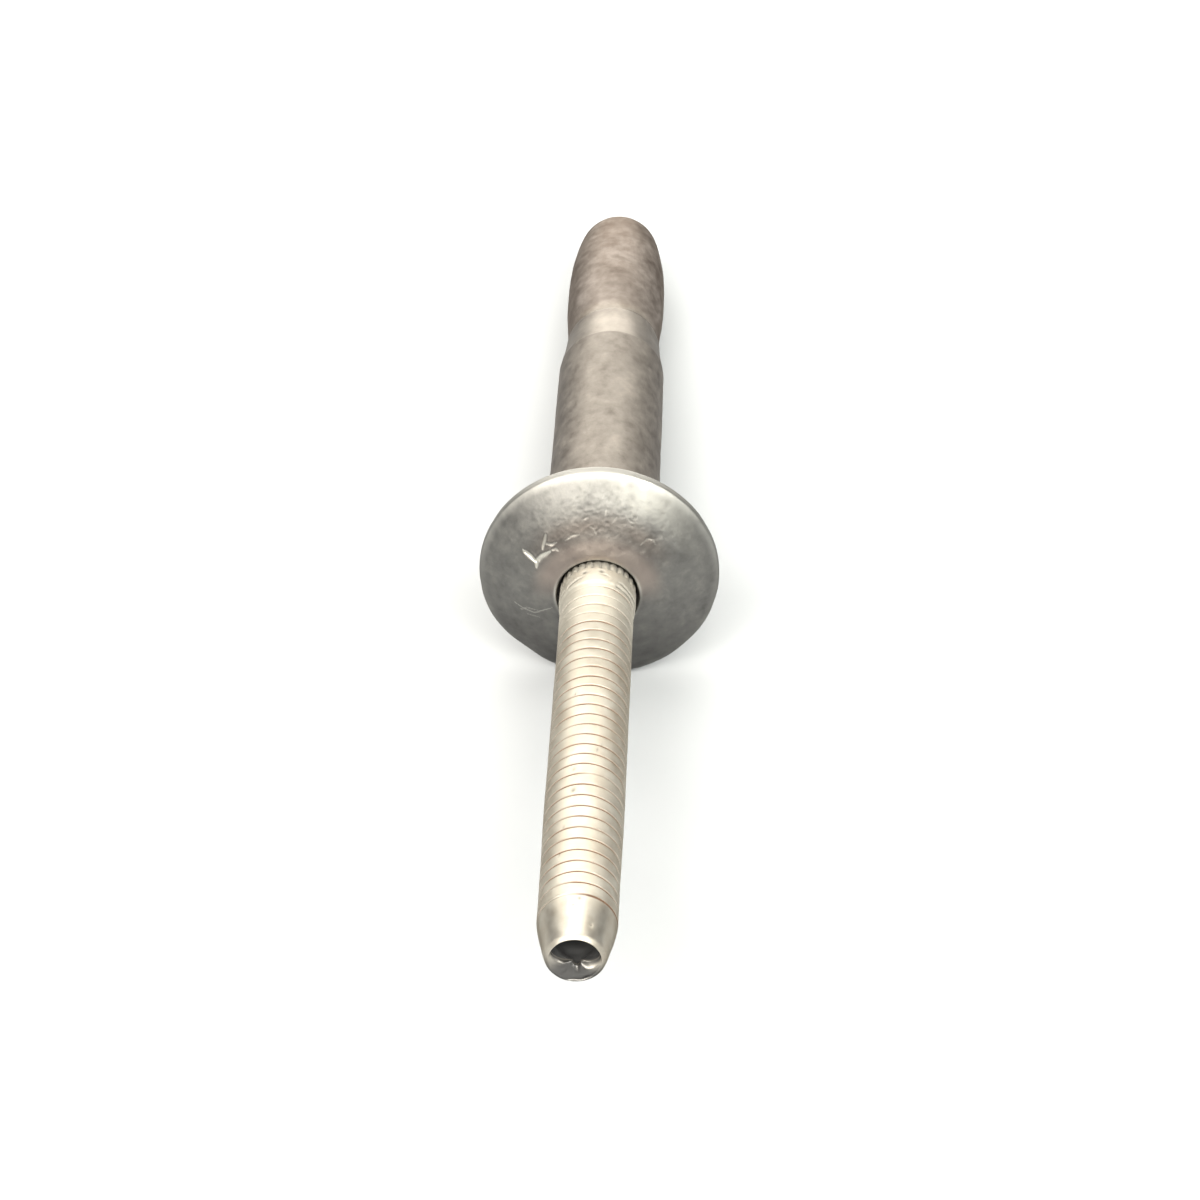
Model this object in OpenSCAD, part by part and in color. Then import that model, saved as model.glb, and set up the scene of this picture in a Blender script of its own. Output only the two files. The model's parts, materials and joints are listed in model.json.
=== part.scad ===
// Structural pop rivet, unset: a one-piece flanged sleeve on a one-piece grooved mandrel.
// It is drawn about its own axis (flange seat at z = 0, mandrel tip towards +z) and then
// laid down as it rests, on the flange's rim and on the mandrel's blind head, tip towards -Y.

/* [Flange] */
// Diameter of the domed flange
flange_d = 13.3; // [12.4:0.1:14.4]
// Thickness of the flange at its rim
rim_t = 0.55; // [0.4:0.05:0.8]
// Rise of the dome from the rim to the crown, without the boss
dome_h = 2.4; // [1.6:0.05:2.6]
// Fullness of the dome, 2 is a parabola and more is flatter on top
dome_power = 2.2; // [2:0.1:3]
// Height of the small boss round the mouth of the bore
boss_h = 0.05; // [0.05:0.01:0.4]
// Radius where the boss runs out into the dome
boss_r = 3.45; // [3.1:0.05:4]

/* [Sleeve] */
// Outer diameter of the sleeve that goes in the drilled hole
sleeve_d = 6.44; // [6.2:0.02:6.6]
// Length of the sleeve's straight barrel, from the flange seat
barrel_l = 21.8; // [14:0.2:26]
// Length of the tapered shoulder at the sleeve's blind end
shoulder_l = 3.75; // [3:0.05:5]
// Diameter of the sleeve at the end of the shoulder
sleeve_end_d = 5.74; // [5.5:0.02:6]
// Diameter of the sleeve's bore
bore_d = 4.1; // [4.1:0.01:4.2]
// Diameter of the mouth of the bore in the crown
mouth_d = 4.5; // [4.3:0.02:4.7]
// Fillet between barrel and flange seat
root_fillet = 0.25; // [0.1:0.05:0.4]

/* [Mandrel] */
// Diameter over the lands of the mandrel
stem_d = 4.0; // [3.9:0.02:4.04]
// Height of the mandrel's tip above the flange seat
tip_z = 33.55; // [33.5:0.05:36]
// Diameter of the knurled collar at the mouth of the bore
collar_d = 4.08; // [4.05:0.01:4.09]
// Height of the collar's outer edge above the flange seat
collar_z = 4.55; // [4:0.05:4.6]
// Depth below the flange seat of the break neck
neck_depth = 9.4; // [8:0.1:11]
// Diameter of the break neck
neck_d = 2.9; // [2.6:0.05:3.2]
// Number of shallow locking grooves beside the break neck
lock_count = 3; // [1:1:3]

/* [Pull grooves] */
// Number of annular pull grooves
groove_count = 31; // [24:1:31]
// Distance from one groove to the next
groove_pitch = 0.843; // [0.7:0.001:0.843]
// Width of a groove at its mouth
groove_w = 0.2; // [0.12:0.01:0.3]
// Depth of a groove
groove_t = 0.11; // [0.06:0.01:0.2]
// Height of the last groove, nearest the tip
last_groove_z = 30.11; // [30.1:0.01:30.6]

/* [Mandrel tip] */
// Outer radius of the tip's end lip
tip_r = 1.3; // [1.26:0.01:1.38]
// Radius of the mouth of the hollow in the tip
hollow_r = 1.2; // [1.05:0.01:1.25]
// Radius of the bottom of the hollow
hollow_floor_r = 0.75; // [0.5:0.05:0.8]
// Depth of the hollow
hollow_t = 1.5; // [1:0.1:2.2]

/* [Blind head] */
// Largest diameter of the mandrel's blind head
head_d = 6.2; // [6:0.02:6.3]
// Diameter of the head where it meets the sleeve
head_root_d = 5.72; // [5.5:0.02:5.9]
// Length of the head
head_l = 14.4; // [13:0.1:16]

/* [Hidden] */
$fn = 96;

flange_r = flange_d / 2;
sleeve_r = sleeve_d / 2;
bore_r = bore_d / 2;
stem_r = stem_d / 2;
head_r = head_d / 2;
end_z = -(barrel_l + shoulder_l);        // the sleeve's end face, where the head seats
head_z = end_z - head_l;                 // the far end of the blind head
smooth = function (t) t * t * (3 - 2 * t);
clamp01 = function (t) max(0, min(1, t));

// Height of the flange's outer face at radius r
dome_z = function (r) rim_t + dome_h * (1 - pow(r / flange_r, dome_power))
    + boss_h * smooth(clamp01((boss_r - r) / (boss_r - mouth_d / 2)));

// Flanged sleeve, [radius, height], outside from the sleeve's end up to the mouth, then down the bore
end_r = sleeve_end_d / 2;
shoulder = function (f, g) [end_r + (sleeve_r - end_r) * f, end_z + shoulder_l * g];
sleeve_outer = [
    [end_r - 0.13, end_z],
    shoulder(0, 0.043),
    shoulder(0.14, 0.147),
    shoulder(0.31, 0.307),
    shoulder(0.53, 0.52),
    shoulder(0.74, 0.733),
    shoulder(0.9, 0.88),
    shoulder(1, 1),
    for (i = [0:5]) [sleeve_r + root_fillet * (1 - cos(i * 18)), -root_fillet * (1 - sin(i * 18))],
    [flange_r - 0.22, 0],
    [flange_r - 0.1, 0.035],
    [flange_r - 0.03, 0.11],
    [flange_r, 0.22],
    [flange_r, 0.36],
    [flange_r - 0.035, 0.47]
];
dome_pts = [for (i = [0:26]) let (r = flange_r - 0.11 - i * (flange_r - 0.11 - mouth_d / 2 - 0.12) / 26) [r, dome_z(r)]];
mouth_z = dome_z(mouth_d / 2 + 0.12);
sleeve_inner = [
    [mouth_d / 2 + 0.05, mouth_z + 0.005],
    [mouth_d / 2, mouth_z - 0.05],
    [mouth_d / 2 - 0.01, mouth_z - 0.25],
    [bore_r, mouth_z - 0.75],
    [bore_r, end_z]
];
body_profile = concat(sleeve_outer, dome_pts, sleeve_inner);

// One V groove of mouth width w and depth t, at height z on radius r, running up the stem
vee = function (z, r, w, t) [[r, z - w / 2], [r - t, z], [r, z + w / 2]];
first_groove_z = last_groove_z - (groove_count - 1) * groove_pitch;

// Mandrel, [radius, height], from the far end of the blind head up to the tip
blind_head = [
    [0, head_z],
    [1.15, head_z],
    [1.75, head_z + 0.07],
    [2.1, head_z + 0.25],
    [2.35, head_z + 0.6],
    [2.52, head_z + 1.1],
    [2.65, head_z + 1.8],
    [2.76, head_z + 2.6],
    [head_r - 0.23, head_z + 3.6],
    [head_r - 0.12, head_z + 4.6],
    [head_r - 0.04, head_z + 5.7],
    [head_r, head_z + 6.9],
    [head_r, head_z + 8.1],
    [head_r - 0.03, head_z + 9.4],
    [head_r - 0.075, head_z + 10.8],
    [head_root_d / 2 + 0.08, end_z - 1.9],
    [head_root_d / 2 + 0.03, end_z - 0.8],
    [head_root_d / 2, end_z - 0.22],
    [head_root_d / 2 - 0.15, end_z]
];
shank = concat(
    [[stem_r, end_z]],
    [for (i = [0:lock_count - 1]) each vee(-neck_depth - 3.2 + i * 0.8, stem_r, 0.5, 0.18)],
    [[stem_r, -neck_depth - 0.75], [neck_d / 2, -neck_depth - 0.12], [neck_d / 2, -neck_depth + 0.12], [stem_r, -neck_depth + 0.75]],
    [[stem_r, 2.0], [collar_d / 2 - 0.015, 2.15], [collar_d / 2, collar_z - 0.2], [stem_r, collar_z - 0.08]]
);
grooves = [for (i = [0:groove_count - 1]) each vee(first_groove_z + i * groove_pitch, stem_r, groove_w, groove_t)];
tip = [
    [stem_r, tip_z - 2.72],
    [stem_r - 0.03, tip_z - 2.5],
    [stem_r - 0.11, tip_z - 2.1],
    [stem_r - 0.22, tip_z - 1.65],
    [stem_r - 0.36, tip_z - 1.1],
    [stem_r - 0.51, tip_z - 0.55],
    [tip_r + 0.08, tip_z - 0.12],
    [tip_r, tip_z],
    [hollow_r, tip_z],
    [hollow_r - 0.12, tip_z - 0.45],
    [hollow_floor_r + 0.1, tip_z - hollow_t + 0.2],
    [hollow_floor_r, tip_z - hollow_t],
    [0, tip_z - hollow_t - 0.12]
];
mandrel_profile = concat(blind_head, shank, grooves, tip);

// The lie: the straight line under the flange's rim and the blind head is the floor
outline = concat(body_profile, mandrel_profile);
rim_pt = [flange_r, 0.22];
// Lean at which each point of the head would touch the floor: the first to touch sets it
tilt = min([for (p = blind_head) if (p[0] > head_r / 2) atan2(rim_pt[0] - p[0], rim_pt[1] - p[1])]);
drop = max([for (p = outline) p[0] * cos(tilt) - p[1] * sin(tilt)]);
y_lo = min([for (p = outline) -p[1] * cos(tilt) - p[0] * sin(tilt)]);
y_hi = max([for (p = outline) -p[1] * cos(tilt) + p[0] * sin(tilt)]);

// Turns the parts from their own axis into the lie, with the origin under the middle of the object
module lie() {
    translate([0, -(y_lo + y_hi) / 2, drop]) rotate([90 - tilt, 0, 0]) children();
}

// Domed flange and tapered sleeve, one piece
module rivet_body() {
    color([0.56, 0.55, 0.52]) lie() rotate_extrude($fn = 96) polygon(body_profile);
}

// Grooved stem with a hollow tip and a long blind head, one piece
module mandrel() {
    color([0.83, 0.79, 0.71]) lie() rotate_extrude($fn = 96) polygon(mandrel_profile);
}

rivet_body();
mandrel();
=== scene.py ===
"""Structural pop rivet, unset: the looks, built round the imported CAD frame."""
import bpy
import json
import math
import numpy as np
from mathutils import Matrix, Vector


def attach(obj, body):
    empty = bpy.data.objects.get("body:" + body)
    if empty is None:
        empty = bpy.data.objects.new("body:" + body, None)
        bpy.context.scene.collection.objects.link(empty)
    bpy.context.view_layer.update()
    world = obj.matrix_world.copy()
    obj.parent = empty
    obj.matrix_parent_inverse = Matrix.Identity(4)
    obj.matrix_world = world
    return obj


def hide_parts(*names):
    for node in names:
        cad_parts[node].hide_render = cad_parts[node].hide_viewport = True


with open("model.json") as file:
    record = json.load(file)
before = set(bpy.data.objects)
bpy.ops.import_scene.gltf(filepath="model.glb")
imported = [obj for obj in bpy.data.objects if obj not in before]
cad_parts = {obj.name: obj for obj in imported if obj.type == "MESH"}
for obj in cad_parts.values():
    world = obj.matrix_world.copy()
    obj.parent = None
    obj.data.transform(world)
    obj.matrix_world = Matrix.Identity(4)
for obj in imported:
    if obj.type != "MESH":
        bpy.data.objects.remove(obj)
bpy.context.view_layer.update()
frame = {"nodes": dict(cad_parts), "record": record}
MM = 0.001

# ---------------------------------------------------------------- the rivet's own axes, from the record's mounts
mounts = {m["name"]: m for m in frame["record"]["mounts"]}
TIPWARD = Vector(mounts["pull_stem"]["axis"]).normalized()
SEAT = Vector(mounts["shank"]["pos_m"]) + TIPWARD * (11.0 * MM)      # the point where the axis meets the flange seat
ACROSS = Vector((1, 0, 0))
UPWARD = TIPWARD.cross(ACROSS).normalized()
# local x across, local y away from the floor, local z towards the mandrel's tip, in metres
LIE = Matrix(((ACROSS.x, UPWARD.x, TIPWARD.x, SEAT.x),
              (ACROSS.y, UPWARD.y, TIPWARD.y, SEAT.y),
              (ACROSS.z, UPWARD.z, TIPWARD.z, SEAT.z),
              (0, 0, 0, 1)))

# ---------------------------------------------------------------- small maths
def smooth(t):
    t = np.clip(t, 0, 1)
    return t * t * (3 - 2 * t)


def bump(x, a, b, soft):
    """1 between a and b, falling to 0 over soft outside."""
    return smooth((x - a + soft) / soft) * smooth((b + soft - x) / soft)


def value_noise(u, v, nu, nv, seed):
    """Smooth noise in -1..1 over u (wraps, 0..1) and v (0..1)."""
    rng = np.random.default_rng(seed)
    g = rng.uniform(-1, 1, (nu, nv + 3))
    x, y = (u % 1.0) * nu, np.clip(v, 0, 1) * nv
    i, j = np.floor(x).astype(int), np.floor(y).astype(int)
    fx, fy = smooth(x - i), smooth(y - j)
    i0, i1, j0, j1 = i % nu, (i + 1) % nu, j, j + 1
    return ((g[i0, j0] * (1 - fx) + g[i1, j0] * fx) * (1 - fy)
            + (g[i0, j1] * (1 - fx) + g[i1, j1] * fx) * fy)


def seg_dist(px, py, ax, ay, bx, by):
    """Distance from points to the segment a-b, and the share along it."""
    dx, dy = bx - ax, by - ay
    t = np.clip(((px - ax) * dx + (py - ay) * dy) / (dx * dx + dy * dy + 1e-12), 0, 1)
    return np.hypot(px - ax - t * dx, py - ay - t * dy), t


def ramp(stops, n_of):
    """Points along a polyline of (r, z), each leg cut into n pieces."""
    out = []
    for (a, b), n in zip(zip(stops[:-1], stops[1:]), n_of):
        for k in range(n):
            t = k / n
            out.append((a[0] + (b[0] - a[0]) * t, a[1] + (b[1] - a[1]) * t))
    out.append(stops[-1])
    return out


def smooth_curve(stops, step):
    """A Catmull-Rom curve through (r, z) points, about step apart."""
    p = np.array([stops[0]] + list(stops) + [stops[-1]], float)
    p[0] = 2 * p[1] - p[2]
    p[-1] = 2 * p[-2] - p[-3]
    out = []
    for i in range(1, len(p) - 2):
        n = max(1, int(round(np.hypot(*(p[i + 1] - p[i])) / step)))
        for k in range(n):
            t = k / n
            a, b, c, d = p[i - 1], p[i], p[i + 1], p[i + 2]
            out.append(tuple(0.5 * (2 * b + (c - a) * t + (2 * a - 5 * b + 4 * c - d) * t * t + (3 * b - a - 3 * c + d) * t ** 3)))
    out.append(tuple(p[-2]))
    return out


def lathe(name, ring_r, ring_z, n_seg, shift=None, closed=False, attrs=None, poles=False):
    """A turned skin: ring_r and ring_z are (rings,) or (rings, seg) arrays in mm, with the axis along local z."""
    th = np.arange(n_seg) * 2 * np.pi / n_seg
    r = ring_r if ring_r.ndim == 2 else np.repeat(ring_r[:, None], n_seg, 1)
    z = ring_z if ring_z.ndim == 2 else np.repeat(ring_z[:, None], n_seg, 1)
    x, y = r * np.cos(th), r * np.sin(th)
    n = r.shape[0]
    co = np.stack([x, y, z], -1).reshape(-1, 3) * MM
    faces = []
    idx = np.arange(n * n_seg).reshape(n, n_seg)
    a, b = idx[:-1], np.roll(idx, -1, 1)[:-1]
    c, d = np.roll(idx, -1, 1)[1:], idx[1:]
    quads = np.stack([a, b, c, d], -1).reshape(-1, 4)
    if closed:
        a, b = idx[-1], np.roll(idx[-1], -1)
        c, d = np.roll(idx[0], -1), idx[0]
        quads = np.concatenate([quads, np.stack([a, b, c, d], -1)])
    faces = quads.tolist()
    extra = []
    if poles:
        k = len(co)
        extra = [[0, 0, float(z[0].mean()) * MM], [0, 0, float(z[-1].mean()) * MM]]
        co = np.concatenate([co, np.array(extra)])
        first, last = idx[0], idx[-1]
        faces += [[k, int(np.roll(first, -1)[i]), int(first[i])] for i in range(n_seg)]
        faces += [[k + 1, int(last[i]), int(np.roll(last, -1)[i])] for i in range(n_seg)]
    laid = co @ np.array(LIE.to_3x3()).T + np.array(LIE.translation)
    me = bpy.data.meshes.new(name)
    me.from_pydata(laid.tolist(), [], faces)
    me.attributes.new("lathe", "FLOAT_VECTOR", "POINT").data.foreach_set("vector", co.astype(np.float32).reshape(-1))
    for an, av in (attrs or {}).items():
        at = me.attributes.new(an, "FLOAT", "POINT")
        v = np.concatenate([av.reshape(-1), np.array([av[0].mean(), av[-1].mean()])]) if poles else av.reshape(-1)
        at.data.foreach_set("value", v.astype(np.float32))
    me.shade_smooth()
    me.update()
    ob = bpy.data.objects.new(name, me)
    bpy.context.scene.collection.objects.link(ob)
    return ob


# ---------------------------------------------------------------- sizes, mm, as in the CAD source
FLANGE_R, RIM_T, DOME_H, DOME_P, BOSS_H, BOSS_R = 6.65, 0.55, 2.4, 2.2, 0.05, 3.45
SLEEVE_R, BARREL_L, SHOULDER_L, END_R, BORE_R, MOUTH_R = 3.22, 21.8, 3.75, 2.87, 2.05, 2.25
END_Z = -(BARREL_L + SHOULDER_L)
STEM_R, TIP_Z, COLLAR_R, COLLAR_Z = 2.0, 33.55, 2.04, 4.55
HEAD_R, HEAD_ROOT_R, HEAD_L = 3.1, 2.86, 14.4
HEAD_Z = END_Z - HEAD_L + 0.025                         # a hair short of the CAD's end, for the worn tip
PITCH, LAST_GROOVE, GROOVES = 0.843, 30.11, 31


def dome_z(r):
    return RIM_T + DOME_H * (1 - (r / FLANGE_R) ** DOME_P) + BOSS_H * smooth((BOSS_R - r) / (BOSS_R - MOUTH_R))


# ---------------------------------------------------------------- the flanged sleeve
def make_sleeve():
    n_seg = 384
    th = np.arange(n_seg) * 2 * np.pi / n_seg
    rings = []                                             # (r, z, zone)
    def add(pts, zone):
        rings.extend((p[0], p[1], zone) for p in pts)
    rise = SLEEVE_R - END_R
    add(ramp([(BORE_R + 0.03, END_Z), (END_R - 0.16, END_Z)], [4]), 0)
    add(smooth_curve([(END_R - 0.09, END_Z + 0.03), (END_R - 0.02, END_Z + 0.09), (END_R, END_Z + 0.2)], 0.05), 1)
    add(smooth_curve([(END_R + rise * f, END_Z + SHOULDER_L * g) for f, g in
                      [(g ** 1.35, g) for g in (0.08, 0.16, 0.26, 0.36, 0.46, 0.56, 0.66, 0.76, 0.86, 0.95)]], 0.13), 1)
    add(smooth_curve([(SLEEVE_R - 0.012, END_Z + SHOULDER_L - 0.07), (SLEEVE_R - 0.002, END_Z + SHOULDER_L + 0.03), (SLEEVE_R, END_Z + SHOULDER_L + 0.14)], 0.06), 1)
    add(ramp([(SLEEVE_R, END_Z + SHOULDER_L + 0.45), (SLEEVE_R, -0.35)], [52]), 1)
    add([(SLEEVE_R + 0.25 * (1 - math.cos(a)), -0.25 * (1 - math.sin(a))) for a in np.radians([0, 15, 30, 45, 60, 75, 90])], 1)
    add(ramp([(3.7, 0), (FLANGE_R - 0.3, 0)], [6]), 2)
    add(smooth_curve([(FLANGE_R - 0.2, 0.0), (FLANGE_R - 0.1, 0.03), (FLANGE_R - 0.03, 0.1), (FLANGE_R, 0.21), (FLANGE_R, 0.38), (FLANGE_R - 0.006, 0.47), (FLANGE_R - 0.03, 0.535)], 0.045), 2)
    dome_r = np.concatenate([[FLANGE_R - 0.055, FLANGE_R - 0.085], np.linspace(FLANGE_R - 0.13, MOUTH_R + 0.12, 82)])
    add([(r, float(dome_z(r))) for r in dome_r], 3)
    mz = float(dome_z(MOUTH_R + 0.1))
    # the mouth: a slightly turned-up lip, then a narrowing throat
    add(smooth_curve([(MOUTH_R + 0.08, mz + 0.004), (MOUTH_R + 0.04, mz - 0.012), (MOUTH_R + 0.014, mz - 0.05), (MOUTH_R, mz - 0.14), (MOUTH_R - 0.02, mz - 0.28), (BORE_R + 0.02, mz - 0.7)], 0.05), 4)
    add(ramp([(BORE_R, mz - 0.85), (BORE_R, mz - 3.5), (BORE_R, END_Z + 1.5), (BORE_R, END_Z + 0.05)], [3, 5, 1]), 4)
    rr = np.array([p[0] for p in rings])
    zz = np.array([p[1] for p in rings])
    zone = np.array([p[2] for p in rings])
    R = np.repeat(rr[:, None], n_seg, 1)
    Z = np.repeat(zz[:, None], n_seg, 1)
    T = np.repeat(th[None, :], len(rr), 0)
    U = T / (2 * np.pi)
    D = zone[:, None]
    X, Y = R * np.cos(T), R * np.sin(T)

    # barrel and shoulder: rolled stock is never quite round or straight
    on_barrel = (D == 1)
    along = (Z - END_Z) / -END_Z
    fade = smooth((Z - END_Z - 0.4) / 1.5) * smooth((-0.3 - Z) / 1.2)
    wav = (0.016 * value_noise(U, along, 5, 6, 11) + 0.009 * value_noise(U, along, 13, 20, 12) + 0.004 * value_noise(U, along, 40, 60, 13)) * fade
    R = R + np.where(on_barrel, wav - 0.018 * fade, 0)

    # dome: what height to add along z at each point
    h = np.zeros_like(R)
    bare_and_lip_highlight = np.zeros_like(R)
    dirt_and_shade = np.zeros_like(R)
    face = smooth((FLANGE_R - 0.10 - R) / 0.4) * smooth((R - MOUTH_R - 0.12) / 0.25)
    face = np.where(D == 3, face, 0)
    # gentle press marks and hand-struck unevenness
    rad = (R - MOUTH_R) / (FLANGE_R - MOUTH_R)
    h += face * (0.012 * value_noise(U, rad, 9, 3, 21) + 0.007 * value_noise(U, rad, 26, 8, 22) + 0.0035 * value_noise(U, rad, 80, 22, 23))
    rng = np.random.default_rng(5)
    sel = np.where(D[:, 0] == 3)[0]
    gx, gy = X[sel], Y[sel]
    gh, gd = np.zeros_like(gx), np.zeros_like(gx)

    def pit(px, py, rad_mm, deep, stretch=1.0, ang=0.0):
        m = (np.abs(gx - px) < 3.2 * rad_mm * stretch) & (np.abs(gy - py) < 3.2 * rad_mm * stretch)
        if not m.any():
            return
        dx, dy = gx[m] - px, gy[m] - py
        c, s = math.cos(ang), math.sin(ang)
        q = ((dx * c + dy * s) / stretch) ** 2 + (-dx * s + dy * c) ** 2
        w = np.exp(-q / (rad_mm * rad_mm))
        ring = np.exp(-((np.sqrt(q) - 1.5 * rad_mm) / (0.5 * rad_mm)) ** 2)
        gh[m] += -deep * w + 0.22 * deep * ring
        gd[m] += 0.5 * w
    # the pitted crescent above the mouth
    for k in range(430):
        a = math.radians(rng.normal(90, 30))
        r = rng.uniform(3.75, 5.75) if k % 3 else rng.uniform(3.6, 6.1)
        pit(r * math.cos(a), r * math.sin(a), rng.uniform(0.045, 0.10), rng.uniform(0.002, 0.009), rng.uniform(1, 2.2), rng.uniform(0, 3.14))
    # thinner scatter over the rest
    for k in range(120):
        a, r = rng.uniform(0, 2 * math.pi), rng.uniform(3.0, 6.2)
        pit(r * math.cos(a), r * math.sin(a), rng.uniform(0.05, 0.16), rng.uniform(0.003, 0.009), rng.uniform(1, 2), rng.uniform(0, 3.14))
    # a swirl of soft dents to the right of the mouth
    for px, py, pr, pd in ((2.42, 2.75, 0.17, 0.017), (2.79, 3.25, 0.16, 0.015), (3.13, 2.77, 0.18, 0.017), (2.7, 2.44, 0.14, 0.014),
                           (3.6, 1.9, 0.2, 0.02), (3.3, 3.4, 0.18, 0.022), (4.1, 0.9, 0.22, 0.016), (-4.6, 2.9, 0.3, 0.014), (4.9, 2.2, 0.28, 0.014)):
        pit(px, py, pr, pd)

    def cut(pts, half, deep, shine=1.0, burr=0.35):
        """A struck nick along a polyline: a vee with a thrown-up edge, and bare metal in it."""
        best = np.full(gx.shape, 9.0)
        tt = np.zeros_like(gx)
        L = len(pts) - 1
        for i in range(L):
            d, t = seg_dist(gx, gy, *pts[i], *pts[i + 1])
            m = d < best
            best[m] = d[m]
            tt[m] = (i + t[m]) / L
        taper = 0.35 + 0.65 * np.sin(np.pi * np.clip(tt, 0.03, 0.97)) ** 0.6
        w = np.clip(1 - best / (half * taper), 0, 1)
        gh[:] += -deep * w * taper + burr * deep * np.exp(-((best - 1.35 * half * taper) / (0.4 * half)) ** 2) * (taper > 0.4)
        sb[:] = np.maximum(sb, shine * smooth(w * 1.6))
    sb = np.zeros_like(gx)
    # the forked nick and its smaller neighbour
    cut([(-4.10, 2.27), (-3.72, 2.05), (-3.34, 1.78)], 0.155, 0.066, 0.85)
    cut([(-3.36, 1.48), (-3.36, 1.82), (-3.08, 2.16), (-2.62, 2.52)], 0.165, 0.070, 0.9)
    cut([(-3.04, 2.58), (-2.94, 2.95), (-2.86, 3.40)], 0.12, 0.046, 0.45)
    cut([(-2.90, 2.92), (-2.55, 2.90), (-2.25, 3.06)], 0.085, 0.034, 0.4)
    cut([(-2.60, 2.60), (-2.30, 2.72), (-2.16, 2.62)], 0.08, 0.030, 0.4)
    # crescents
    cut([(-1.78, 3.24), (-1.45, 3.50), (-1.02, 3.62)], 0.07, 0.018, 0.22)
    cut([(-0.50, 4.06), (-0.25, 3.98), (-0.10, 3.66)], 0.065, 0.016, 0.16)
    cut([(0.70, 4.18), (0.86, 4.36), (0.98, 4.52)], 0.065, 0.014, 0.10)
    cut([(0.35, 4.60), (0.42, 4.95)], 0.06, 0.014, 0.12)
    cut([(-0.9, 4.35), (-0.55, 4.52)], 0.06, 0.014, 0.12)
    cut([(1.5, 4.5), (1.75, 4.25), (2.05, 4.2)], 0.06, 0.014, 0.12)
    cut([(2.3, 3.0), (2.62, 3.3), (3.0, 3.2), (3.1, 2.9)], 0.06, 0.018, 0.2)
    # thin scratches at the lower left
    cut([(-4.66, -1.12), (-4.1, -1.42), (-3.48, -1.54), (-2.9, -1.15), (-2.5, -0.9)], 0.045, 0.014, 0.35, 0.2)
    cut([(-4.35, -1.6), (-3.9, -1.28), (-3.3, -1.32)], 0.04, 0.012, 0.3, 0.2)
    cut([(-3.9, -1.75), (-3.2, -1.8)], 0.035, 0.010, 0.25, 0.2)
    h[sel] += gh * (0.25 + 0.75 * face[sel])
    bare_and_lip_highlight[sel] = sb
    dirt_and_shade[sel] += np.clip(gd, 0, 1) * 0.26
    crease = smooth((1.35 - np.abs(R - 4.75)) / 0.9) * smooth((np.sin(T) - 0.35) / 0.4) * np.where(D == 3, 1, 0)
    h += crease * (0.0026 * value_noise(U, rad, 150, 30, 24) + 0.0022 * value_noise(U, rad, 260, 60, 25))
    Z = Z + np.where(D == 3, h, 0)

    # rim: small flats and knocks where it has been dropped
    rim = ((D == 2) | (D == 3)) & (R > FLANGE_R - 1.3)
    out_w = smooth((R - FLANGE_R + 1.3) / 1.25)
    knocks = ((231, 13, 0.200), (214, 7, 0.035), (250, 6, 0.040), (318, 8, 0.035), (28, 5, 0.020), (152, 6, 0.022), (96, 2.2, 0.016), (70, 3, 0.014), (187, 4, 0.025), (345, 5, 0.025))
    cutb = np.zeros_like(R)
    deg = np.degrees(T)
    for c, w, d in knocks:
        da = (deg - c + 180) % 360 - 180
        cutb += d * np.exp(-(da / w) ** 2)
    cutb += 0.012 + 0.006 * (1 + value_noise(U, U * 0 + 0.3, 40, 1, 31))
    R = R - np.where(rim, cutb * out_w, 0)

    # mouth: worn lip, with a little raised burr on the far side; the lip is painted as bright bare metal, most at its
    # left and right burrs, as a painted highlight, and the throat is painted dark as painted shade
    lip = (D == 4) & (Z > mz - 0.06)
    burr = np.zeros_like(R)
    for c, w, d in ((10, 9, 0.05), (176, 12, 0.06), (20, 5, 0.03)):
        da = (deg - c + 180) % 360 - 180
        burr += d * np.exp(-(da / w) ** 2)
    near_lip = np.where((D == 3), smooth((MOUTH_R + 0.42 - R) / 0.3), np.where(lip, 1, 0))
    Z = Z + burr * near_lip
    # painted highlight: the mouth lip is painted as bright bare metal, most at its left and right burrs
    lip_highlight = 0.10 + 0.4 * np.exp(-((deg - 178) / 16) ** 2) + 0.35 * np.exp(-((deg - 18) / 14) ** 2)
    bare_and_lip_highlight = np.maximum(bare_and_lip_highlight * 0.85, lip_highlight * np.where((D == 3) | (D == 4), np.exp(-((R - MOUTH_R - 0.1) / 0.08) ** 2), 0) * np.where(Z > mz - 0.12, 1, 0))
    # painted shade: the throat below the lip is painted dark
    dirt_and_shade = np.maximum(dirt_and_shade, np.where((D == 4), smooth((mz - 0.08 - Z) / 0.25), 0))
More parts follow.
